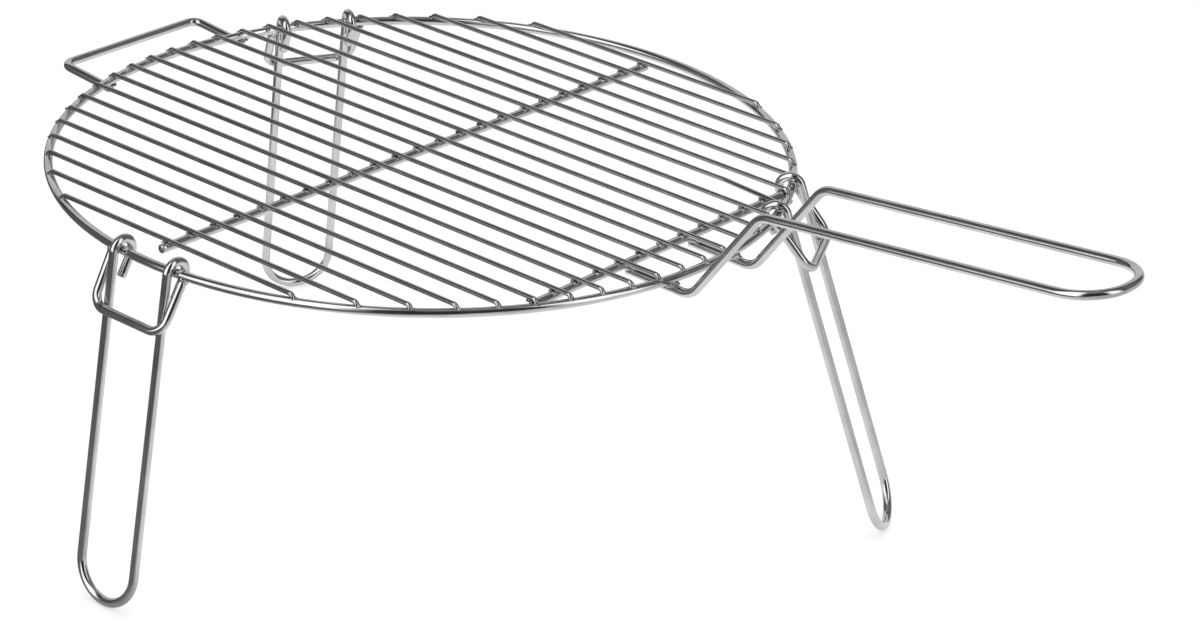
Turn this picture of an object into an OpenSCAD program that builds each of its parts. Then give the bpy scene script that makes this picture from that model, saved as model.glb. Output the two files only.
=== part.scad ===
// Folding camp grill: a round wire grate on three hinged wire legs,
// with a long loop handle on one side and a small carry handle opposite.
// X runs along the grate bars towards the long handle, Z is up, and the
// floor is at Z = 0 under the centre of the grate. All sizes are in mm.

/* [View] */
// Which piece to draw

/* [Grate] */
// Height of the grate ring's centre line above the floor
grate_z = 206; // [150:1:300]
// Radius of the ring's centre line
ring_r = 222.5; // [150:0.5:300]
// Thickness of the ring wire
ring_d = 5.5; // [4:0.1:8]
// Thickness of the grate bars
bar_d = 3; // [2:0.1:4]
// Spacing of the grate bars
bar_pitch = 18.28; // [12:0.01:30]
// Height of the bars' centre line above the ring's centre line
bar_lift = 4.5; // [3:0.1:8]
// How far a bar's bent tip comes down
tip_drop = 3.2; // [1:0.1:4]
// How far a bar's bent tip reaches outwards
tip_run = 3; // [2:0.1:6]
// Thickness of the two rods under the bars
cross_d = 5.5; // [3:0.1:6]
// How far the middle cross rod reaches towards the front leg
middle_rod_front = 206.5; // [100:0.5:215]
// How far the middle cross rod reaches the other way
middle_rod_back = 205; // [100:0.5:215]
// How far the two ends of the middle cross rod lie off the centre line: front, back
middle_rod_off = [6, 0.6];
// Distance of the handle-side cross rod from the centre
handle_rod_x = 190; // [150:0.5:200]
// Half length of the handle-side cross rod
handle_rod_half = 110; // [80:0.5:120]

/* [Legs] */
// Thickness of the leg wire
leg_d = 5.5; // [4:0.1:8]
// Half the distance between the two wires of a leg
leg_half = 22; // [15:0.5:40]
// Direction of each leg round the ring: front, right, rear
leg_angle = [-90, 28.2, 152.1];
// Outward lean of each leg against its stop: front, right, rear
leg_lean = [9, 18.4, 11];
// Bend radius of the hook over the ring, at the wire's centre line
hook_r = 6.9; // [6:0.1:8]
// How far the hook's bend centre lies inwards of the ring's centre line
hook_in = 0.9; // [0:0.1:2]
// How far the hook's bend centre lies below the ring's centre line
hook_sag = 0.4; // [0:0.1:2]
// Angle by which the hook's tail closes towards the leg
hook_close = 22; // [0:1:30]
// How far the hook's tail reaches down from the hinge: front, right, rear
tail_drop = [16.8, 11, 14.5];

/* [Leg stops] */
// Thickness of the stop wire and of the carry handle wire
stop_d = 5.5; // [3:0.1:6]
// Half width of a stop where it meets the ring
stop_top_half = 29.3; // [20:0.1:50]
// Half width of a stop at its lower bar
stop_low_half = 28.3; // [20:0.1:50]
// How far a stop's lower bar lies below the ring's centre line
stop_drop = 31; // [15:0.1:50]
// Bend radius of a stop's lower corners
stop_bend = 10; // [4:0.5:15]
// Gap between a leg and its stop
stop_gap = 0.6; // [0:0.05:1]

/* [Long handle] */
// Thickness of the handle wire
handle_d = 5.5; // [4:0.1:8]
// Half the distance between the two handle wires
handle_half = 27.5; // [15:0.5:40]
// Where the handle wires start under the grate
handle_start_x = 188; // [150:0.5:200]
// Where the handle turns upwards outside the ring
handle_low_x = 235.5; // [228:0.5:260]
// Where the handle turns outwards at the top of its rise
handle_high_x = 282; // [250:0.5:320]
// Height of that turn above the ring's centre line
handle_high_z = 57.7; // [20:0.1:90]
// Outer end of the handle
handle_end_x = 504; // [400:1:700]
// Height of the outer end above the ring's centre line
handle_end_z = 81; // [20:0.5:120]
// Bend radii of the handle: lower turn, upper turn, end
handle_bend = [14, 13, 26];

/* [Carry handle] */
// Half width of the carry handle
carry_half = 56.3; // [30:0.1:90]
// Distance of its outer bar from the centre
carry_x = 259.3; // [230:0.5:300]
// Depth of its outer bar below the ring's centre line
carry_drop = 1.7; // [0:0.1:10]
// Where its wires end under the ring
carry_start_x = 215; // [200:0.5:220]
// Bend radius of its corners
carry_bend = 7; // [4:0.5:20]

/* [Hidden] */
$fn = 64;
bars_each_side = 11;        // bars on each side of the middle one
weld_sink = 0.25;           // how deep welded wires are pressed into each other
tip_past = 1.2;             // bar tips end just outside the ring's centre line
tip_bend = 2.5;             // bend radius where a bar turns down
bowed_bar = 17;             // this bar is bowed sideways past the right leg's hook
bow_x = 158;                // where its bow is widest
bow_out = 3;                // how far it bows away from the middle
bow_back = 0.9;             // how far its tip is pulled back past its straight line
bow_bend = 20;              // bend radius of the bow
bend_swell = 0.02;          // bends are this much thicker than the straights,
socket = 0.2;               // so that each straight can end inside its bend

cross_z = bar_lift - (bar_d + cross_d) / 2 + weld_sink;
hinge_r = sqrt(pow(ring_r, 2) - pow(leg_half, 2));
shank_x = hook_r - hook_in; // the leg's wires lie this far outside the hinge
handle_in_z = cross_z - (cross_d + handle_d) / 2 + weld_sink;
handle_ring_z = weld_sink - (ring_d + handle_d) / 2;
handle_slope = (handle_ring_z - handle_in_z) / (ring_r - handle_rod_x);
carry_ring_z = weld_sink - (ring_d + stop_d) / 2;
carry_ring_x = sqrt(pow(ring_r, 2) - pow(carry_half, 2));
carry_slope = (-carry_drop - carry_ring_z) / (carry_x - carry_ring_x);

// ---- bent wire ----

function unit(v) = v / norm(v);
function turn_angle(p, q, r) = acos(unit(q - p) * unit(r - q));
function setback(pts, radii, i) =
    (i == 0 || i == len(pts) - 1) ? 0
    : radii[i - 1] * tan(turn_angle(pts[i - 1], pts[i], pts[i + 1]) / 2);

// A straight round rod from p to q
module rod(p, q, d) {
    v = q - p;
    translate(p)
        rotate([0, acos(v.z / norm(v)), atan2(v.y, v.x)])
            cylinder(h = norm(v), d = d);
}

// An arc of wire from point p, leaving along the unit vector along and
// turning by angle towards the unit vector inward with radius bend_r
module arc(p, along, inward, angle, d, bend_r) {
    normal = cross(along, inward);
    tilt = acos(normal.z);
    heading = atan2(normal.y, normal.x);
    u = -inward;
    flat_x = u.x * cos(heading) + u.y * sin(heading);
    flat_y = u.y * cos(heading) - u.x * sin(heading);
    spin = atan2(flat_y, flat_x * cos(tilt) - u.z * sin(tilt));
    translate(p + inward * bend_r)
        rotate([0, tilt, heading])
            rotate([0, 0, spin])
                rotate_extrude(angle = angle)
                    translate([bend_r, 0])
                        circle(d = d + bend_swell);
}

// The bend that joins the lines p-q and q-r
module elbow(p, q, r, d, bend_r) {
    along = unit(q - p);
    angle = turn_angle(p, q, r);
    inward = unit(cross(cross(along, r - q), along));
    arc(q - along * bend_r * tan(angle / 2), along, inward, angle, d, bend_r);
}

// A wire of thickness d along pts, with one bend radius per inner point
module wire(pts, d, radii) {
    last = len(pts) - 1;
    for (i = [0 : last - 1]) {
        v = unit(pts[i + 1] - pts[i]);
        start_cut = i == 0 ? 0 : setback(pts, radii, i) - socket;
        end_cut = i == last - 1 ? 0 : setback(pts, radii, i + 1) - socket;
        rod(pts[i] + v * start_cut, pts[i + 1] - v * end_cut, d);
    }
    for (i = [1 : last - 1])
        elbow(pts[i - 1], pts[i], pts[i + 1], d, radii[i - 1]);
}

function mirror_y(pts) = [for (i = [len(pts) - 1 : -1 : 0]) [pts[i].x, -pts[i].y, pts[i].z]];

// ---- grate ----

module ring() {
    color("silver")
        translate([0, 0, grate_z])
            rotate_extrude()
                translate([ring_r, 0])
                    circle(d = ring_d);
}

// Half length of the grate at a distance y from its middle bar
function reach(y) = sqrt(pow(ring_r, 2) - pow(y, 2)) + tip_past;

function tip_point(p) = [p.x, p.y, grate_z + bar_lift - tip_drop];
function tip_corner(p, towards) =
    let (q = p + unit(towards - p) * tip_run)
    [q.x, q.y, grate_z + bar_lift];

// Bar number n, counted from the front; its two tips bend down onto the ring
module bar(n) {
    y = (n - 1 - bars_each_side) * bar_pitch;
    bowed = n == bowed_bar;
    end_y = bowed ? y - bow_back : y;
    from = [-reach(y), y];
    to = [reach(end_y), end_y];
    via = bowed ? [[bow_x, y + bow_out]] : [];
    next = bowed ? via[0] : to;
    before = bowed ? via[0] : from;
    pts = concat([tip_point(from), tip_corner(from, next)],
                 [for (p = via) [p.x, p.y, grate_z + bar_lift]],
                 [tip_corner(to, before), tip_point(to)]);
    radii = concat([tip_bend], [for (p = via) bow_bend], [tip_bend]);
    color("gainsboro")
        wire(pts, bar_d, radii);
}

module cross_rod_middle() {
    color("gray")
        rod([-middle_rod_off[0], -middle_rod_front, grate_z + cross_z],
            [-middle_rod_off[1], middle_rod_back, grate_z + cross_z], cross_d);
}

module cross_rod_handle_side() {
    color("gray")
        rod([handle_rod_x, -handle_rod_half, grate_z + cross_z],
            [handle_rod_x, handle_rod_half, grate_z + cross_z], cross_d);
}

// ---- handles ----

module long_handle() {
    half = [[handle_start_x, -handle_half,
             handle_in_z + (handle_start_x - handle_rod_x) * handle_slope],
            [handle_low_x, -handle_half,
             handle_in_z + (handle_low_x - handle_rod_x) * handle_slope],
            [handle_high_x, -handle_half, handle_high_z],
            [handle_end_x, -handle_half, handle_end_z]];
    radii = concat(handle_bend, [handle_bend[2], handle_bend[1], handle_bend[0]]);
    color("silver")
        translate([0, 0, grate_z])
            wire(concat(half, mirror_y(half)), handle_d, radii);
}

module carry_handle() {
    half = [[-carry_start_x, -carry_half,
             carry_ring_z + (carry_start_x - carry_ring_x) * carry_slope],
            [-carry_x, -carry_half, -carry_drop]];
    color("silver")
        translate([0, 0, grate_z])
            wire(concat(half, mirror_y(half)), stop_d, [carry_bend, carry_bend]);
}

// ---- legs and their stops; i is 0 front, 1 right, 2 rear ----

// One half of a leg in its own frame: X outwards, Z up the leg, hinge at the
// origin. Tail, hook over the ring, then the wire down to the foot's bend.
module leg_half_wire(side, foot_z, drop) {
    y = side * leg_half;
    over = 180 + hook_close;
    arch_end = [-hook_in - hook_r * cos(hook_close), y, -hook_sag - hook_r * sin(hook_close)];
    down = [sin(hook_close), 0, -cos(hook_close)];
    tail_length = (arch_end.z + drop) / cos(hook_close);
    rod([shank_x, y, foot_z - socket], [shank_x, y, socket - hook_sag], leg_d);
    arc([shank_x, y, -hook_sag], [0, 0, 1], [-1, 0, 0], over, leg_d, hook_r);
    rod(arch_end - socket * down, arch_end + tail_length * down, leg_d);
}

// One leg, standing: two hooked wires joined by the round foot
module leg(i) {
    lean = leg_lean[i];
    reach_down = (grate_z - leg_d / 2 + shank_x * sin(lean)) / cos(lean);
    foot_z = leg_half - reach_down;
    color("lightsteelblue")
        translate([0, 0, grate_z])
            rotate([0, 0, leg_angle[i]])
                translate([hinge_r, 0, 0])
                    rotate([0, -lean, 0]) {
                        leg_half_wire(-1, foot_z, tail_drop[i]);
                        leg_half_wire(1, foot_z, tail_drop[i]);
                        arc([shank_x, -leg_half, foot_z], [0, 0, -1], [0, 1, 0],
                            180, leg_d, leg_half);
                    }
}

// A wire loop welded to the ring outside the leg, which the open leg rests on
module leg_stop(i) {
    lean = leg_lean[i];
    stand_off = shank_x + (leg_d + stop_d) / 2 + stop_gap;
    low = [hinge_r + (stand_off + stop_drop * sin(lean)) / cos(lean), -stop_low_half, -stop_drop];
    on_ring = [sqrt(pow(ring_r, 2) - pow(stop_top_half, 2)), -stop_top_half, 0];
    top = on_ring + (ring_d / 2 - weld_sink) * unit(low - on_ring);
    half = [top, low];
    color("silver")
        translate([0, 0, grate_z])
            rotate([0, 0, leg_angle[i]])
                wire(concat(half, mirror_y(half)), stop_d, [stop_bend, stop_bend]);
}

// ---- pieces ----

ring();
bar(1);  // bar_01
bar(2);  // bar_02
bar(3);  // bar_03
bar(4);  // bar_04
bar(5);  // bar_05
bar(6);  // bar_06
bar(7);  // bar_07
bar(8);  // bar_08
bar(9);  // bar_09
bar(10);  // bar_10
bar(11);  // bar_11
bar(12);  // bar_12
bar(13);  // bar_13
bar(14);  // bar_14
bar(15);  // bar_15
bar(16);  // bar_16
bar(17);  // bar_17
bar(18);  // bar_18
bar(19);  // bar_19
bar(20);  // bar_20
bar(21);  // bar_21
bar(22);  // bar_22
bar(23);  // bar_23
cross_rod_middle();
cross_rod_handle_side();
long_handle();
carry_handle();
leg(0);  // leg_front
leg(1);  // leg_right
leg(2);  // leg_rear
leg_stop(0);  // leg_stop_front
leg_stop(1);  // leg_stop_right
leg_stop(2);  // leg_stop_rear
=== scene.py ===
"""Folding camp grill of bright steel wire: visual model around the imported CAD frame."""
import math

import bmesh
import bpy
import numpy as np
from mathutils import Matrix, Vector, noise


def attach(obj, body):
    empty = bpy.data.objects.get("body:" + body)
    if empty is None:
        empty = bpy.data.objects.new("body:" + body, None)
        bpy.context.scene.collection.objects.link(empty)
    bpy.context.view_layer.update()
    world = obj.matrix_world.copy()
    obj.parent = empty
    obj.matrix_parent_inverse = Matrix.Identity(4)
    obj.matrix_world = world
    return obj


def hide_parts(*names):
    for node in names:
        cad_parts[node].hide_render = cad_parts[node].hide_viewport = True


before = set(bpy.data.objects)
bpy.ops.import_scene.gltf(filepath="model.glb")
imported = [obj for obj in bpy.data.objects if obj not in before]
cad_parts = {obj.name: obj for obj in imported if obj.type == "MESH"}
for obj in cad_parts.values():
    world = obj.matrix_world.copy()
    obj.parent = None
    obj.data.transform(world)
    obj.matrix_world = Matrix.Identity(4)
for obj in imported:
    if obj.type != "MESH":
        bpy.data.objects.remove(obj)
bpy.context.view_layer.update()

MM = 0.001

# ---- sizes, in millimetres, as in the CAD ----

RING_R = 222.5
RING_D = 5.5
GRATE_Z = 206.0
BAR_COUNT = 23
BAR_D = 3.0
BAR_PITCH = 18.28
BAR_Z = GRATE_Z + 4.5
TIP_DROP = 3.2
TIP_RUN = 3.0
TIP_PAST = 1.2
TIP_BEND = 2.5
BOWED_BAR = 17
BOW_X = 158.0
BOW_OUT = 3.0
BOW_BACK = 0.9
BOW_BEND = 20.0
WELD_SINK = 0.25
CROSS_D = 5.5
CROSS_Z = BAR_Z - (BAR_D + CROSS_D) / 2 + WELD_SINK
MIDDLE_ROD = ((-6.0, -206.5), (-0.6, 205.0))
HANDLE_ROD_X = 190.0
HANDLE_ROD_HALF = 110.0
LEG_D = 5.5
LEG_HALF = 22.0
LEGS = {"front": (-90.0, 9.0, 16.8), "right": (28.2, 18.4, 11.0), "rear": (152.1, 11.0, 14.5)}
HOOK_R = 6.9
HOOK_IN = 0.9
HOOK_SAG = 0.4
HOOK_CLOSE = math.radians(22)
SHANK_X = HOOK_R - HOOK_IN
STOP_D = 5.5
STOP_TOP_HALF = 29.3
STOP_LOW_HALF = 28.3
STOP_DROP = 31.0
STOP_BEND = 10.0
STOP_GAP = 0.6
HANDLE_D = 5.5
HANDLE_HALF = 27.5
HANDLE_START_X = 188.0
HANDLE_LOW_X = 235.5
HANDLE_HIGH = (282.0, 57.7)
HANDLE_END = (504.0, 81.0)
HANDLE_BENDS = (14.0, 13.0, 26.0)
CARRY_HALF = 56.3
CARRY_X = 259.3
CARRY_DROP = 1.7
CARRY_START_X = 215.0
CARRY_BEND = 7.0

HINGE_R = math.sqrt(RING_R ** 2 - LEG_HALF ** 2)

# ---- detail of the wires' meshes ----

WIRE_SIDES = 24
BAR_SIDES = 16
RING_STEPS = 240
ARC_STEP = math.radians(6)
LONG_STEP = 12.0
STEP = 6.0
SHORT_STEP = 4.0
SHANK_STEP = 8.0
FINE_STEP = 3.0
END_CHAMFER = 0.22      # of the wire's radius
PRESSED_LENGTH = 4.0    # the welding tongs flatten this much of a bar's tip,
PRESSED_WIDER = 0.22    # and make it so much wider
PRESSED_THINNER = 0.2   # and thinner
BEAD_LUMPS = 0.16       # unevenness of a weld bead, of its size
LUMP_SCALE = 1.7
FINE_LUMP_SCALE = 5.0

X, Y, Z = np.eye(3)


def unit(v):
    v = np.asarray(v, float)
    return v / np.linalg.norm(v)


# ---- wire paths ----

def arc_points(start, along, inward, angle, radius):
    """Points of an arc from start, leaving along `along` and turning towards `inward`."""
    count = max(2, int(math.ceil(angle / ARC_STEP)))
    turn = np.linspace(0, angle, count + 1)[1:]
    centre = start + inward * radius
    return [centre - inward * radius * math.cos(t) + along * radius * math.sin(t) for t in turn]


def straight_points(start, end, step):
    """Points of a straight line after start, up to and with end."""
    count = max(1, int(round(np.linalg.norm(end - start) / step)))
    return [start + (end - start) * i / count for i in range(1, count + 1)]


def bent_path(points, bends, step=STEP):
    """A dense path along points, rounded at each inner point with its bend radius."""
    pts = [np.asarray(p, float) for p in points]
    path = [pts[0]]
    for i in range(1, len(pts) - 1):
        a = unit(pts[i] - pts[i - 1])
        b = unit(pts[i + 1] - pts[i])
        angle = math.acos(np.clip(a @ b, -1, 1))
        cut = bends[i - 1] * math.tan(angle / 2)
        inward = unit(b - a * (a @ b))
        start = pts[i] - a * cut
        if np.linalg.norm(start - path[-1]) > 1e-3:
            path += straight_points(path[-1], start, step)
        path += arc_points(start, a, inward, angle, bends[i - 1])
    path += straight_points(path[-1], pts[-1], step)
    return np.array(path)


def mirrored(half):
    """The half given by its points, followed by its mirror image across Y."""
    return half + [(x, -y, z) for x, y, z in reversed(half)]


# ---- tubes ----

def transported_frames(path, closed, first_normal):
    """Tangent, normal and binormal at each point, carried along the path without twist."""
    if closed:
        tangents = np.roll(path, -1, 0) - np.roll(path, 1, 0)
    else:
        tangents = np.gradient(path, axis=0)
    tangents /= np.linalg.norm(tangents, axis=1)[:, None]
    normals = np.zeros_like(path)
    n = first_normal - tangents[0] * (first_normal @ tangents[0])
    normals[0] = unit(n)
    for i in range(1, len(path)):
        n = normals[i - 1] - tangents[i] * (normals[i - 1] @ tangents[i])
        normals[i] = unit(n)
    return tangents, normals, np.cross(tangents, normals)


def tube(name, path, diameter, closed=False, sides=WIRE_SIDES, first_normal=Z, shape=None,
         welds=(), weld_size=4.0, seam=0.0):
    """A wire along path (mm). shape(s, length) gives the scale across and along the first normal.
    welds are heat-marked, and seam shifts the surface's streaks, so that no two wires are alike."""
    path = np.asarray(path, float)
    radius = diameter / 2
    tangents, normals, binormals = transported_frames(path, closed, np.asarray(first_normal, float))
    lengths = np.concatenate([[0], np.cumsum(np.linalg.norm(np.diff(path, axis=0), axis=1))])
    total = lengths[-1]
    rings = [(path[i], normals[i], binormals[i], lengths[i], 1.0) for i in range(len(path))]
    if not closed:
        chamfer = radius * END_CHAMFER
        rings[0] = (path[0], normals[0], binormals[0], 0.0, 1 - END_CHAMFER)
        rings[-1] = (path[-1], normals[-1], binormals[-1], total, 1 - END_CHAMFER)
        after_start = path[0] + tangents[0] * chamfer
        before_end = path[-1] - tangents[-1] * chamfer
        rings.insert(1, (after_start, normals[0], binormals[0], chamfer, 1.0))
        rings.insert(-1, (before_end, normals[-1], binormals[-1], total - chamfer, 1.0))
    angles = np.linspace(0, 2 * math.pi, sides, endpoint=False)
    verts = []
    for centre, n, b, s, scale in rings:
        across, along = shape(s, total) if shape else (1.0, 1.0)
        for a in angles:
            offset = math.cos(a) * along * n + math.sin(a) * across * b
            verts.append(centre + radius * scale * offset)
    faces, uvs = [], []
    ring_count = len(rings)
    spans = ring_count if closed else ring_count - 1
    for i in range(spans):
        j = (i + 1) % ring_count
        u0 = rings[i][3]
        u1 = rings[j][3] if j else total + np.linalg.norm(path[0] - path[-1])
        for k in range(sides):
            m = (k + 1) % sides
            faces.append((i * sides + k, i * sides + m, j * sides + m, j * sides + k))
            v0, v1 = k / sides, (k + 1) / sides
            uvs.append(((u0, v0), (u0, v1), (u1, v1), (u1, v0)))
    if not closed:
        for base, flip in ((0, True), ((ring_count - 1) * sides, False)):
            loop = list(range(base, base + sides))
            faces.append(tuple(reversed(loop)) if flip else tuple(loop))
            uvs.append(tuple((0.0, 0.0) for _ in loop))
    mesh = bpy.data.meshes.new(name)
    mesh.from_pydata([tuple(v * MM) for v in verts], [], faces)
    layer = mesh.uv_layers.new(name="wire")
    loop_index = 0
    for face_uv in uvs:
        for u, v in face_uv:
            layer.data[loop_index].uv = (u * MM + seam, v)
            loop_index += 1
    mark_welds(mesh, welds, weld_size)
    finish_mesh(mesh)
    obj = bpy.data.objects.new(name, mesh)
    bpy.context.scene.collection.objects.link(obj)
    return obj


def mark_welds(mesh, welds, size):
    """A value per vertex that is 1 at a weld and fades to 0 a few millimetres away."""
    heat = np.zeros(len(mesh.vertices))
    if len(welds):
        co = np.empty(len(mesh.vertices) * 3)
        mesh.vertices.foreach_get("co", co)
        co = co.reshape(-1, 3) / MM
        for w in welds:
            d = np.linalg.norm(co - np.asarray(w, float), axis=1)
            heat = np.maximum(heat, np.exp(-(d / size) ** 2))
    layer = mesh.attributes.new("heat", "FLOAT", "POINT")
    layer.data.foreach_set("value", heat)


def finish_mesh(mesh):
    """Outward faces, smooth round the wire and flat on its end discs."""
    mesh.update()
    bm = bmesh.new()
    bm.from_mesh(mesh)
    bmesh.ops.recalc_face_normals(bm, faces=bm.faces)
    bm.to_mesh(mesh)
    bm.free()
    for poly in mesh.polygons:
        poly.use_smooth = len(poly.vertices) <= 4


# ---- weld beads ----

def bead_group(name, beads, subdivisions=3):
    """Lumpy weld beads in one mesh. Each is (centre, axes as rows, half sizes, seed)."""
    out = bmesh.new()
    for centre, axes, sizes, seed in beads:
        bm = bmesh.new()
        bmesh.ops.create_icosphere(bm, subdivisions=subdivisions, radius=1.0)
        rows = [Vector(unit(a)) for a in axes]
        for v in bm.verts:
            p = v.co.copy()
            lump = noise.noise(p * LUMP_SCALE + Vector((seed * 7.3, seed * 3.1, seed * 1.9)))
            fine = noise.noise(p * FINE_LUMP_SCALE + Vector((seed * 2.3, seed * 9.1, seed * 4.7)))
            p *= 1 + BEAD_LUMPS * (2 * lump + 0.7 * fine)
            q = sum((rows[i] * p[i] * sizes[i] for i in range(3)), Vector((0, 0, 0)))
            v.co = (Vector(centre) + q) * MM
        mesh = bpy.data.meshes.new("bead")
        bm.to_mesh(mesh)
        bm.free()
        out.from_mesh(mesh)
        bpy.data.meshes.remove(mesh)
    mesh = bpy.data.meshes.new(name)
    out.to_mesh(mesh)
    out.free()
    for poly in mesh.polygons:
        poly.use_smooth = True
    obj = bpy.data.objects.new(name, mesh)
    bpy.context.scene.collection.objects.link(obj)
    return obj


# ---- materials ----

STREAK_SCALE = (60, 14, 1)      # along and round the wire
PATCH_SCALE = 45
PIT_SCALE = 1400
WIRE_BUMP = (0.12, 0.0002)      # strength, and height in metres
BEAD_SCALE = 420
BEAD_GRAIN_SCALE = 1900
BEAD_BUMP = (0.35, 0.0004)
SCORCH_DARK = (0.20, 0.17, 0.14, 1)
SCORCH_LIGHT = (0.34, 0.33, 0.33, 1)


def new_material(name):
    """A material with one Principled shader."""
    mat = bpy.data.materials.new(name)
    mat.use_nodes = True
    nodes, links = mat.node_tree.nodes, mat.node_tree.links
    nodes.clear()
    out = nodes.new("ShaderNodeOutputMaterial")
    shader = nodes.new("ShaderNodeBsdfPrincipled")
    links.new(shader.outputs["BSDF"], out.inputs["Surface"])
    return mat, nodes, links, shader


def mapped(nodes, links, source, scale):
    """Coordinates stretched by a scale per axis."""
    mapping = nodes.new("ShaderNodeMapping")
    mapping.inputs["Scale"].default_value = scale
    links.new(source, mapping.inputs["Vector"])
    return mapping.outputs["Vector"]


def noise_value(nodes, links, vector, scale, detail=3.0, rough=0.5):
    tex = nodes.new("ShaderNodeTexNoise")
    tex.inputs["Scale"].default_value = scale
    tex.inputs["Detail"].default_value = detail
    tex.inputs["Roughness"].default_value = rough
    links.new(vector, tex.inputs["Vector"])
    return tex.outputs["Fac"]


def ranged(nodes, links, value, low, high, out_low, out_high):
    node = nodes.new("ShaderNodeMapRange")
    node.inputs["From Min"].default_value = low
    node.inputs["From Max"].default_value = high
    node.inputs["To Min"].default_value = out_low
    node.inputs["To Max"].default_value = out_high
    links.new(value, node.inputs["Value"])
    return node.outputs["Result"]


def smooth_range(nodes, links, value, low, high, out_low, out_high):
    result = ranged(nodes, links, value, low, high, out_low, out_high)
    result.node.interpolation_type = "SMOOTHSTEP"
    return result


def mixed_color(nodes, links, factor, a, b):
    node = nodes.new("ShaderNodeMix")
    node.data_type = "RGBA"
    links.new(factor, node.inputs["Factor"])
    for socket, value in ((node.inputs["A"], a), (node.inputs["B"], b)):
        if isinstance(value, tuple):
            socket.default_value = value
        else:
            links.new(value, socket)
    return node.outputs["Result"]


def combined(nodes, links, a, b, operation="ADD"):
    """A Math node on two sockets or numbers."""
    node = nodes.new("ShaderNodeMath")
    node.operation = operation
    for socket, value in zip(node.inputs, (a, b)):
        if isinstance(value, (int, float)):
            socket.default_value = value
        else:
            links.new(value, socket)
    return node.outputs["Value"]


def add_bump(nodes, links, shader, height, strength, distance):
    bump = nodes.new("ShaderNodeBump")
    bump.inputs["Strength"].default_value = strength
    bump.inputs["Distance"].default_value = distance
    links.new(height, bump.inputs["Height"])
    links.new(bump.outputs["Normal"], shader.inputs["Normal"])


def wire_material(name, dark, light, rough_low, rough_high):
    """Drawn and plated steel wire: streaks along the wire, small pits, heat marks at the welds."""
    mat, nodes, links, shader = new_material(name)
    shader.inputs["Metallic"].default_value = 1.0
    coords = nodes.new("ShaderNodeTexCoord")
    uv = nodes.new("ShaderNodeUVMap")
    uv.uv_map = "wire"
    heat = nodes.new("ShaderNodeAttribute")
    heat.attribute_name = "heat"
    streaks = noise_value(nodes, links, mapped(nodes, links, uv.outputs["UV"], STREAK_SCALE), 1.0, 4)
    patches = noise_value(nodes, links, coords.outputs["Object"], PATCH_SCALE, 3)
    pits = noise_value(nodes, links, coords.outputs["Object"], PIT_SCALE, 2)
    tone = combined(nodes, links, ranged(nodes, links, patches, 0.35, 0.65, 0, 0.6),
                    ranged(nodes, links, streaks, 0.35, 0.65, 0, 0.4))
    plated = mixed_color(nodes, links, tone, dark, light)
    scorched = mixed_color(nodes, links, ranged(nodes, links, patches, 0.4, 0.6, 0, 1),
                           SCORCH_DARK, SCORCH_LIGHT)
    heat_amount = ranged(nodes, links, heat.outputs["Fac"], 0.25, 1.0, 0, 0.75)
    color = mixed_color(nodes, links, heat_amount, plated, scorched)
    links.new(color, shader.inputs["Base Color"])
    rough = combined(nodes, links, ranged(nodes, links, streaks, 0.3, 0.7, rough_low, rough_high),
                     ranged(nodes, links, heat.outputs["Fac"], 0.2, 1.0, 0, 0.22))
    links.new(rough, shader.inputs["Roughness"])
    height = combined(nodes, links, ranged(nodes, links, streaks, 0, 1, 0, 0.7),
                      ranged(nodes, links, pits, 0, 1, 0, 0.3))
    add_bump(nodes, links, shader, height, *WIRE_BUMP)
    return mat


def bead_material(name, dark, light):
    """Plated weld metal: uneven, partly scorched, with bright crests."""
    mat, nodes, links, shader = new_material(name)
    shader.inputs["Metallic"].default_value = 1.0
    coords = nodes.new("ShaderNodeTexCoord")
    lumps = noise_value(nodes, links, coords.outputs["Object"], BEAD_SCALE, 4)
    grain = noise_value(nodes, links, coords.outputs["Object"], BEAD_GRAIN_SCALE, 3)
    color = mixed_color(nodes, links, ranged(nodes, links, lumps, 0.38, 0.62, 0, 1), dark, light)
    links.new(color, shader.inputs["Base Color"])
    links.new(ranged(nodes, links, grain, 0.3, 0.7, 0.12, 0.34), shader.inputs["Roughness"])
    add_bump(nodes, links, shader, combined(nodes, links, lumps, grain), *BEAD_BUMP)
    return mat


frame_steel = wire_material("plated_frame_wire", (0.54, 0.54, 0.545, 1), (0.72, 0.72, 0.73, 1), 0.06, 0.16)
bar_steel = wire_material("plated_bar_wire", (0.40, 0.40, 0.405, 1), (0.56, 0.56, 0.57, 1), 0.10, 0.22)
rod_steel = wire_material("plated_rod_wire", (0.50, 0.50, 0.505, 1), (0.68, 0.68, 0.69, 1), 0.06, 0.15)
bead_steel = bead_material("weld_metal", (0.14, 0.135, 0.13, 1), (0.86, 0.86, 0.87, 1))


def place(obj, body, material, slot, *nodes):
    """Gives a piece its material and body, and hides the CAD nodes that it stands for. The slot is not
    used.
    """
    obj.data.materials.append(material)
    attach(obj, body)
    if nodes:
        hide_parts(*nodes)
    return obj


# ---- grate ----

def reach(y):
    """Half length of a bar that lies y from the middle."""
    return math.sqrt(RING_R ** 2 - y ** 2) + TIP_PAST


def bar_ends(number):
    """Plan points of a bar: left tip, optional bow, right tip."""
    y = (number - 1 - BAR_COUNT // 2) * BAR_PITCH
    if number == BOWED_BAR:
        end_y = y - BOW_BACK
        return [(-reach(y), y), (BOW_X, y + BOW_OUT), (reach(end_y), end_y)]
    return [(-reach(y), y), (reach(y), y)]


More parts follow.
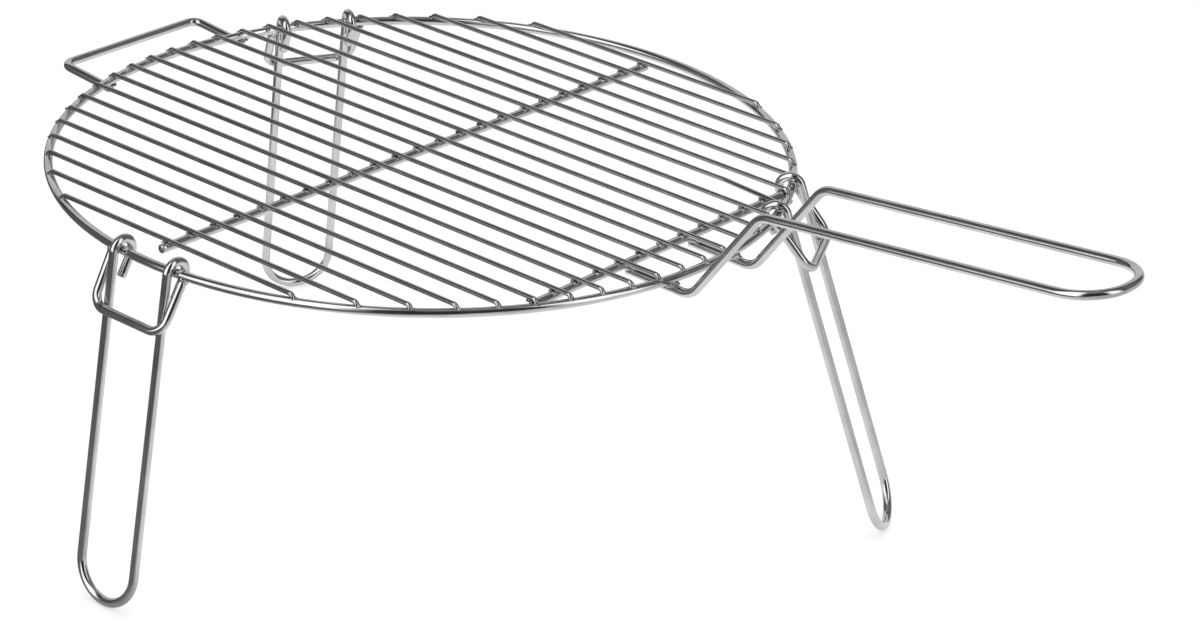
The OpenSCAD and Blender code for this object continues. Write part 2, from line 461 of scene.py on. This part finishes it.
def bar_path(number):
    plan = bar_ends(number)
    left, right = np.array(plan[0]), np.array(plan[-1])
    left_in = left + unit(np.array(plan[1]) - left) * TIP_RUN
    right_in = right + unit(np.array(plan[-2]) - right) * TIP_RUN
    points = [(*left, BAR_Z - TIP_DROP), (*left_in, BAR_Z)]
    points += [(x, y, BAR_Z) for x, y in plan[1:-1]]
    points += [(*right_in, BAR_Z), (*right, BAR_Z - TIP_DROP)]
    return bent_path(points, [TIP_BEND] + [BOW_BEND] * (len(plan) - 2) + [TIP_BEND], LONG_STEP)


def pressed_tip(s, total):
    near = min(s, total - s)
    squeeze = max(0.0, 1 - near / PRESSED_LENGTH)
    return 1 + PRESSED_WIDER * squeeze, 1 - PRESSED_THINNER * squeeze


def bar_y_at(number, x):
    plan = bar_ends(number)
    return float(np.interp(x, [p[0] for p in plan], [p[1] for p in plan]))


def middle_rod_x(y):
    (x0, y0), (x1, y1) = MIDDLE_ROD
    return x0 + (x1 - x0) * (y - y0) / (y1 - y0)


bar_tips = []
middle_welds = []
handle_side_welds = []
weld_z = BAR_Z - BAR_D / 2
for number in range(1, BAR_COUNT + 1):
    plan = bar_ends(number)
    cross_x = middle_rod_x(plan[0][1])
    welds = [(cross_x, bar_y_at(number, cross_x), weld_z)]
    middle_welds += welds
    if abs(plan[0][1]) < HANDLE_ROD_HALF:
        welds.append((HANDLE_ROD_X, bar_y_at(number, HANDLE_ROD_X), weld_z))
        handle_side_welds.append(welds[-1])
    tips = [(p[0], p[1], BAR_Z - TIP_DROP) for p in (plan[0], plan[-1])]
    bar = tube(f"grate_bar_{number:02d}", bar_path(number), BAR_D, sides=BAR_SIDES, shape=pressed_tip,
               welds=welds + tips, weld_size=2.2, seam=number * 0.37)
    place(bar, "grate", bar_steel, "grate_bar_wire", f"bar_{number:02d}")
    bar_tips += [(tip, unit((-tip[1], tip[0], 0))) for tip in tips]

ring_angles = np.linspace(0, 2 * math.pi, RING_STEPS, endpoint=False)
ring_path = np.stack([RING_R * np.cos(ring_angles), RING_R * np.sin(ring_angles),
                      np.full(RING_STEPS, GRATE_Z)], 1)
ring_welds = [tip for tip, _ in bar_tips]
ring = tube("grate_ring", ring_path, RING_D, closed=True, welds=ring_welds, weld_size=1.8)
place(ring, "grate", frame_steel, "ring_wire", "ring")

middle_path = bent_path([(*end, CROSS_Z) for end in MIDDLE_ROD], [], SHORT_STEP)
middle_rod = tube("middle_cross_rod", middle_path, CROSS_D, welds=middle_welds, weld_size=2.6, seam=3.1)
place(middle_rod, "grate", rod_steel, "cross_rod_wire", "cross_rod_middle")
handle_side_ends = [(HANDLE_ROD_X, side * HANDLE_ROD_HALF, CROSS_Z) for side in (-1, 1)]
handle_rod = tube("handle_side_cross_rod", bent_path(handle_side_ends, [], SHORT_STEP), CROSS_D,
                  welds=handle_side_welds, weld_size=2.6, seam=5.7)
place(handle_rod, "grate", rod_steel, "cross_rod_wire", "cross_rod_handle_side")

# ---- handles ----

handle_in_z = CROSS_Z - (CROSS_D + HANDLE_D) / 2 + WELD_SINK
handle_ring_z = GRATE_Z + WELD_SINK - (RING_D + HANDLE_D) / 2
handle_slope = (handle_ring_z - handle_in_z) / (RING_R - HANDLE_ROD_X)


def handle_wire_z(x):
    """Height of the handle's straight part, which slopes from the cross rod down to the ring."""
    return handle_in_z + (x - HANDLE_ROD_X) * handle_slope


def carry_wire_z(x):
    """Height of the carry handle's wires, which slope up from under the ring to the outer bar."""
    return GRATE_Z + carry_ring_z + (x - carry_ring_x) * carry_slope


handle_half = [(HANDLE_START_X, -HANDLE_HALF, handle_wire_z(HANDLE_START_X)),
               (HANDLE_LOW_X, -HANDLE_HALF, handle_wire_z(HANDLE_LOW_X)),
               (HANDLE_HIGH[0], -HANDLE_HALF, GRATE_Z + HANDLE_HIGH[1]),
               (HANDLE_END[0], -HANDLE_HALF, GRATE_Z + HANDLE_END[1])]
handle_path = bent_path(mirrored(handle_half), HANDLE_BENDS + HANDLE_BENDS[::-1])
handle_ring_x = math.sqrt(RING_R ** 2 - HANDLE_HALF ** 2)
handle_welds = [(x, side * HANDLE_HALF, z) for side in (-1, 1)
                for x, z in ((handle_ring_x, GRATE_Z - RING_D / 2), (HANDLE_ROD_X, CROSS_Z - CROSS_D / 2))]
long_handle = tube("long_loop_handle", handle_path, HANDLE_D, welds=handle_welds, weld_size=5.0, seam=1.3)
place(long_handle, "grate", frame_steel, "handle_wire", "long_handle")

carry_ring_z = WELD_SINK - (RING_D + STOP_D) / 2
carry_ring_x = math.sqrt(RING_R ** 2 - CARRY_HALF ** 2)
carry_slope = (-CARRY_DROP - carry_ring_z) / (CARRY_X - carry_ring_x)
carry_half = [(-CARRY_START_X, -CARRY_HALF, carry_wire_z(CARRY_START_X)),
              (-CARRY_X, -CARRY_HALF, GRATE_Z - CARRY_DROP)]
carry_path = bent_path(mirrored(carry_half), [CARRY_BEND, CARRY_BEND])
carry_welds = [(-carry_ring_x, side * CARRY_HALF, GRATE_Z - RING_D / 2) for side in (-1, 1)]
carry_handle = tube("carry_loop_handle", carry_path, STOP_D, welds=carry_welds, weld_size=4.0, seam=2.9)
place(carry_handle, "grate", frame_steel, "stop_wire", "carry_handle")

# ---- legs and stops ----

def around(angle):
    """Matrix from a leg's frame (X outwards, Z up, origin on the ring's axis) to the row frame."""
    return np.array(Matrix.Rotation(math.radians(angle), 3, "Z"))


def hook_and_shank(side, foot_z, tail_drop):
    """Half a leg from the tail's end to the foot's bend, in the leg's own frame."""
    y = side * LEG_HALF
    foot_end = np.array([SHANK_X, y, foot_z])
    shank_top = np.array([SHANK_X, y, -HOOK_SAG])
    arch = arc_points(shank_top, Z, -X, math.pi + HOOK_CLOSE, HOOK_R)
    tail_way = np.array([math.sin(HOOK_CLOSE), 0, -math.cos(HOOK_CLOSE)])
    tail = arch[-1] + tail_way * (arch[-1][2] + tail_drop) / math.cos(HOOK_CLOSE)
    shank = straight_points(foot_end, shank_top, SHANK_STEP)
    return [foot_end] + shank + arch + straight_points(arch[-1], tail, FINE_STEP)


def leg_path(angle, lean, tail_drop):
    """A whole leg, leaning out on its stop, with its foot on the floor."""
    tilt = math.radians(lean)
    reach_down = (GRATE_Z - LEG_D / 2 + SHANK_X * math.sin(tilt)) / math.cos(tilt)
    foot_z = LEG_HALF - reach_down
    near = list(reversed(hook_and_shank(-1, foot_z, tail_drop)))
    foot = arc_points(np.array([SHANK_X, -LEG_HALF, foot_z]), -Z, Y, math.pi, LEG_HALF)
    local = np.array(near + foot + hook_and_shank(1, foot_z, tail_drop)[1:])
    lean_matrix = np.array(Matrix.Rotation(-tilt, 3, "Y"))
    placed = local @ lean_matrix.T + np.array([HINGE_R, 0, 0])
    return placed @ around(angle).T + GRATE_Z * Z


def stop_path(angle, lean):
    """A stop, from the ring down round the outside of its leg and back up to the ring."""
    tilt = math.radians(lean)
    stand_off = SHANK_X + (LEG_D + STOP_D) / 2 + STOP_GAP
    low_x = HINGE_R + (stand_off + STOP_DROP * math.sin(tilt)) / math.cos(tilt)
    low_point = np.array([low_x, -STOP_LOW_HALF, -STOP_DROP])
    on_ring = np.array([math.sqrt(RING_R ** 2 - STOP_TOP_HALF ** 2), -STOP_TOP_HALF, 0])
    top = on_ring + (RING_D / 2 - WELD_SINK) * unit(low_point - on_ring)
    path = bent_path(mirrored([tuple(top), tuple(low_point)]), [STOP_BEND, STOP_BEND], FINE_STEP)
    return path @ around(angle).T + GRATE_Z * Z


stop_ends = []
for index, (where, (angle, lean, tail_drop)) in enumerate(LEGS.items()):
    sideways = around(angle) @ Y
    leg = tube(f"{where}_leg", leg_path(angle, lean, tail_drop), LEG_D, first_normal=sideways,
               seam=4.1 + index)
    place(leg, f"{where}_leg", frame_steel, "leg_wire", f"leg_{where}")
    path = stop_path(angle, lean)
    stop = tube(f"{where}_leg_stop", path, STOP_D, first_normal=sideways,
                welds=[path[0], path[-1]], weld_size=3.2, seam=7.3 + index)
    place(stop, "grate", frame_steel, "stop_wire", f"leg_stop_{where}")
    stop_ends += [(path[0], unit(path[1] - path[0])), (path[-1], unit(path[-2] - path[-1]))]

# ---- weld beads ----

# Half sizes of the beads; each rod bead also has its place from the crossing.
ROD_BEADS = (((-2.1, -0.9, -0.3), (1.3, 1.5, 0.8)), ((0.4, -1.7, -0.3), (1.7, 1.0, 0.7)))
TIP_BEAD = (1.5, 1.9, 0.7)
HANDLE_WELD = (4.4, 3.9, 2.3)
CARRY_WELD = (3.2, 3.2, 1.7)
STOP_WELD = (2.6, 3.2, 3.2)
LUMP_COUNT = 3
LUMP_SIZE = 0.5       # of the main bead
LUMP_SPREAD = 0.75    # of the main bead's half size
LUMP_TURN = 2.1

rod_beads = []
for seed, weld in enumerate(middle_welds + handle_side_welds):
    for k, (shift, sizes) in enumerate(ROD_BEADS):
        rod_beads.append((np.add(weld, shift), (X, Y, Z), sizes, seed + 300 * k))
place(bead_group("cross_rod_spot_welds", rod_beads), "grate", bead_steel, "cross_rod_wire")

tip_beads = []
for seed, (tip, tangent) in enumerate(bar_tips):
    on_ring = (tip[0], tip[1], GRATE_Z + RING_D / 2 - 0.1)
    outward = unit((tip[0], tip[1], 0))
    tip_beads.append((on_ring, (outward, tangent, Z), TIP_BEAD, 50 + seed))
place(bead_group("bar_tip_welds", tip_beads, subdivisions=2), "grate", bead_steel, "ring_wire")


def weld_lumps(centre, axes, sizes, seed):
    """One main bead and a few smaller ones thrown round it."""
    beads = [(centre, axes, sizes, seed)]
    small = [LUMP_SIZE * size for size in sizes]
    for k in range(LUMP_COUNT):
        turn = LUMP_TURN * k + 1.7 * seed
        shift = LUMP_SPREAD * (axes[0] * math.cos(turn) * sizes[0] + axes[1] * math.sin(turn) * sizes[1])
        beads.append((centre + shift, axes, small, seed + 31 * (k + 1)))
    return beads


frame_beads = []
for i, weld in enumerate(handle_welds):
    frame_beads += weld_lumps(weld, (X, Y, Z), HANDLE_WELD, 120 + i)
for i, weld in enumerate(carry_welds):
    frame_beads += weld_lumps(weld, (X, Y, Z), CARRY_WELD, 140 + i)
for i, (weld, along) in enumerate(stop_ends):
    side = unit(np.cross(along, Z))
    frame_beads += weld_lumps(weld, (along, side, np.cross(along, side)), STOP_WELD, 160 + i)
place(bead_group("frame_welds", frame_beads), "grate", bead_steel, "ring_wire")

# ---- floor ----

FLOOR_HALF = 6.0
FLOOR_GLOW = 0.5                     # share of the floor's light that it gives off itself
GLOW_STRENGTH = 1.12
DARK_AZIMUTH = math.radians(-120)    # the wires see a darker floor in this direction
LIT_GREY = (0.52, 0.52, 0.52, 1)
DARK_GREY = (0.05, 0.05, 0.05, 1)


def floor_material():
    """Pale paper, which the wires' reflections see grey far out and dark to one side."""
    mat, nodes, links, shader = new_material("studio_floor")
    shader.inputs["Roughness"].default_value = 0.9
    coords = nodes.new("ShaderNodeTexCoord")
    speck = noise_value(nodes, links, coords.outputs["Object"], 9, 3)
    paper = mixed_color(nodes, links, speck, (0.93, 0.93, 0.93, 1), (0.95, 0.95, 0.95, 1))
    distance = nodes.new("ShaderNodeVectorMath")
    distance.operation = "LENGTH"
    links.new(coords.outputs["Object"], distance.inputs[0])
    towards_dark = nodes.new("ShaderNodeVectorMath")
    towards_dark.operation = "DOT_PRODUCT"
    towards_dark.inputs[1].default_value = (math.cos(DARK_AZIMUTH), math.sin(DARK_AZIMUTH), 0)
    links.new(coords.outputs["Object"], towards_dark.inputs[0])
    # painted reflection: for glossy rays only, the floor is painted greyer with distance from the centre
    # and near black towards DARK_AZIMUTH, so the wires reflect a darker floor than the white one the
    # camera sees
    darker_side = smooth_range(nodes, links, towards_dark.outputs["Value"], 0.08, 0.28, 0, 0.95)
    seen_grey = mixed_color(nodes, links, darker_side, LIT_GREY, DARK_GREY)
    far = smooth_range(nodes, links, distance.outputs["Value"], 0.12, 0.8, 0.25, 1)
    paths = nodes.new("ShaderNodeLightPath")
    dim = combined(nodes, links, combined(nodes, links, far, darker_side, "MAXIMUM"),
                   paths.outputs["Is Glossy Ray"], "MULTIPLY")
    color = mixed_color(nodes, links, dim, paper, seen_grey)
    # painted light: part of the floor's brightness (FLOOR_GLOW) is its own glow, which lightens the
    # shadows that the grill casts on it
    lit_part = nodes.new("ShaderNodeVectorMath")
    lit_part.operation = "SCALE"
    lit_part.inputs["Scale"].default_value = 1 - FLOOR_GLOW
    links.new(color, lit_part.inputs[0])
    links.new(lit_part.outputs["Vector"], shader.inputs["Base Color"])
    links.new(color, shader.inputs["Emission Color"])
    shader.inputs["Emission Strength"].default_value = FLOOR_GLOW * GLOW_STRENGTH
    return mat


floor_mesh = bpy.data.meshes.new("floor")
floor_corners = [(x * FLOOR_HALF, y * FLOOR_HALF, 0) for x, y in ((-1, -1), (1, -1), (1, 1), (-1, 1))]
floor_mesh.from_pydata(floor_corners, [], [(0, 1, 2, 3)])
floor = bpy.data.objects.new("floor", floor_mesh)
bpy.context.scene.collection.objects.link(floor)
floor_mesh.materials.append(floor_material())

# ---- camera: angles in radians, distances in metres ----

CAMERA_AZIMUTH = 0.71038
CAMERA_ELEVATION = 0.44106
CAMERA_ROLL = 0.03875
CAMERA_DISTANCE = 2.3579
CAMERA_RIGHT = 0.10652
CAMERA_UP = -0.09636
LENS = 117.88
SENSOR_WIDTH = 36.0

back = Vector((math.sin(CAMERA_AZIMUTH) * math.cos(CAMERA_ELEVATION),
               -math.cos(CAMERA_AZIMUTH) * math.cos(CAMERA_ELEVATION), math.sin(CAMERA_ELEVATION)))
right = Vector((math.cos(CAMERA_AZIMUTH), math.sin(CAMERA_AZIMUTH), 0))
over = back.cross(right)
right_rolled = right * math.cos(CAMERA_ROLL) + over * math.sin(CAMERA_ROLL)
up_rolled = over * math.cos(CAMERA_ROLL) - right * math.sin(CAMERA_ROLL)
camera_data = bpy.data.cameras.new("camera")
camera_data.lens = LENS
camera_data.sensor_width = SENSOR_WIDTH
camera = bpy.data.objects.new("camera", camera_data)
bpy.context.scene.collection.objects.link(camera)
grate_centre = Vector((0, 0, GRATE_Z * MM))
location = (grate_centre + back * CAMERA_DISTANCE
            + right_rolled * CAMERA_RIGHT + up_rolled * CAMERA_UP)
turn = Matrix((right_rolled, up_rolled, back)).transposed()
camera.matrix_world = Matrix.Translation(location) @ turn.to_4x4()
bpy.context.scene.camera = camera

# ---- light ----

OVERHEAD_FROM = Vector((0.1, 0.2, 2.2))
OVERHEAD_TO = Vector((0.1, 0, 0.2))
OVERHEAD_SIZE = (2.4, 1.8)
OVERHEAD_POWER = 10

overhead_data = bpy.data.lights.new("overhead", "AREA")
overhead_data.shape = "RECTANGLE"
overhead_data.size, overhead_data.size_y = OVERHEAD_SIZE
overhead_data.energy = OVERHEAD_POWER
overhead = bpy.data.objects.new("overhead", overhead_data)
bpy.context.scene.collection.objects.link(overhead)
overhead_turn = (OVERHEAD_TO - OVERHEAD_FROM).to_track_quat("-Z", "Y").to_matrix()
overhead.matrix_world = Matrix.Translation(OVERHEAD_FROM) @ overhead_turn.to_4x4()
overhead.visible_glossy = False

# The studio as the wires reflect it. Each patch of light is azimuth from, to, elevation from, to
# (degrees), soft edge (degrees) and brightness. The other rays see an even white.
WHITE = 1.06
ROOM = 0.03
STUDIO = [(-126, -68, -8, 78, 8, 1.6),        # softbox left of the camera
          (-4, 24, -4, 58, 7, 1.6),           # tall strip right of it
          (-172, -130, -15, 46, 7, 0.09),     # dim wall far left
          (34, 84, -15, 62, 9, 0.13),         # dim wall far right
          (96, 180, -30, 50, 10, 0.62),       # pale backdrop
          (-180, 180, 66, 90, 10, 0.27)]      # ceiling, all round


def window(nodes, links, value, low, high, soft):
    """1 between low and high, fading to 0 over soft on either side."""
    rise = smooth_range(nodes, links, value, low - soft, low + soft, 0, 1)
    fall = smooth_range(nodes, links, value, high - soft, high + soft, 1, 0)
    return combined(nodes, links, rise, fall, "MULTIPLY")


def make_studio():
    """The world: even white light, and the softboxes of STUDIO for glossy rays only."""
    world = bpy.data.worlds.new("studio")
    bpy.context.scene.world = world
    world.use_nodes = True
    nodes, links = world.node_tree.nodes, world.node_tree.links
    nodes.clear()
    out = nodes.new("ShaderNodeOutputWorld")
    background = nodes.new("ShaderNodeBackground")
    links.new(background.outputs["Background"], out.inputs["Surface"])
    coords = nodes.new("ShaderNodeTexCoord")
    split = nodes.new("ShaderNodeSeparateXYZ")
    links.new(coords.outputs["Generated"], split.inputs[0])
    heading = combined(nodes, links, split.outputs["Y"], split.outputs["X"], "ARCTAN2")
    azimuth = combined(nodes, links, heading, 180 / math.pi, "MULTIPLY")
    rise = combined(nodes, links, split.outputs["Z"], 0.0, "ARCSINE")
    elevation = combined(nodes, links, rise, 180 / math.pi, "MULTIPLY")
    light = ROOM
    for az_from, az_to, el_from, el_to, soft, brightness in STUDIO:
        patch = window(nodes, links, elevation, el_from, el_to, soft)
        if az_to - az_from < 360:
            across = window(nodes, links, azimuth, az_from, az_to, soft)
            patch = combined(nodes, links, patch, across, "MULTIPLY")
        patch = combined(nodes, links, patch, brightness, "MULTIPLY")
        light = combined(nodes, links, light, patch)
    paths = nodes.new("ShaderNodeLightPath")
    level = nodes.new("ShaderNodeMix")
    level.data_type = "FLOAT"
    links.new(paths.outputs["Is Glossy Ray"], level.inputs["Factor"])
    level.inputs["A"].default_value = WHITE
    links.new(light, level.inputs["B"])
    background.inputs["Color"].default_value = (1, 1, 1, 1)
    links.new(level.outputs["Result"], background.inputs["Strength"])


make_studio()
bpy.context.scene.view_settings.view_transform = "Standard"
bpy.context.scene.view_settings.look = "None"
